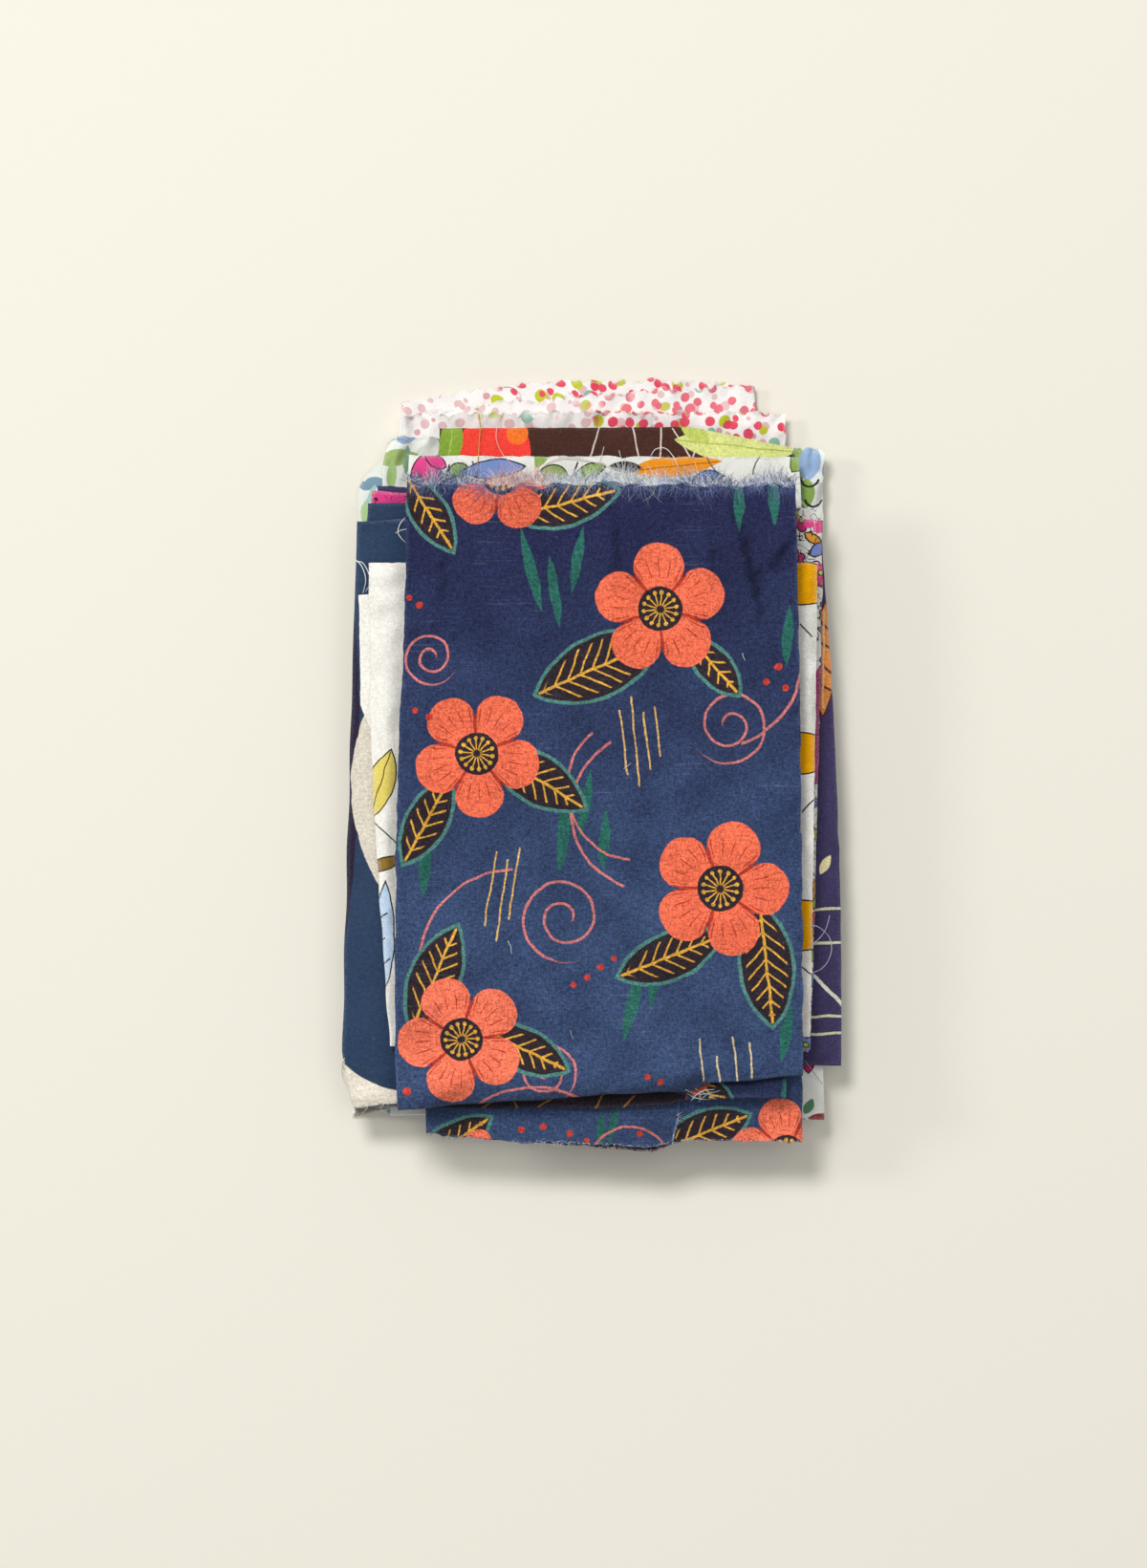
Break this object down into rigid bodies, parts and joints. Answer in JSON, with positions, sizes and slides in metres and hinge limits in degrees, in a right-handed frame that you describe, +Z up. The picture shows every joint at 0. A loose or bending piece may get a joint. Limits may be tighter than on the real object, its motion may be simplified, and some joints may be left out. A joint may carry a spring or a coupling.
{
  "type": "folded fabric bundle",
  "caption": "Pile of folded printed cotton cuts with raw and folded edges, lying flat as a remnant bundle.",
  "frame": {"origin": "middle of the pile's footprint box, on the surface it lies on", "axes": "+Z up, +Y to the back along the pile's length, +X to the right, seen from the side where the top cloth is folded"},
  "size_m": [0.209, 0.3214, 0.0448],
  "materials": {
    "dotted_print": "matte woven cotton, white with a small dotted print",
    "mint_leaf_print": "matte woven cotton, pale mint with a leaf print",
    "brown_red_print": "matte woven cotton, dark brown with red rounds and lime leaves",
    "white_patch_print": "matte woven cotton, white with black-outlined leaf and petal patches",
    "purple_line_print": "matte woven cotton, dark purple with thin light lines",
    "white_flower_print": "matte woven cotton, white with outlined pink and blue flowers",
    "blue_cream_print": "matte woven cotton, teal blue with large cream rounds",
    "white_leaf_print": "matte woven cotton, off-white with a sparse drawn leaf print",
    "navy_print_under": "matte woven cotton, navy with coral, gold and teal blossoms",
    "navy_print_top": "matte woven cotton, navy with coral, gold and teal blossoms, frayed raw edge"
  },
  "bodies": {
    "root": {"dotted_print": "dotted_print", "mint_leaf_print": "mint_leaf_print", "brown_red_print": "brown_red_print", "white_patch_print": "white_patch_print", "purple_line_print": "purple_line_print", "white_flower_print": "white_flower_print", "blue_cream_print": "blue_cream_print", "white_leaf_print": "white_leaf_print", "navy_print_under": "navy_print_under", "navy_print_top": "navy_print_top"}
  },
  "joints": []
}
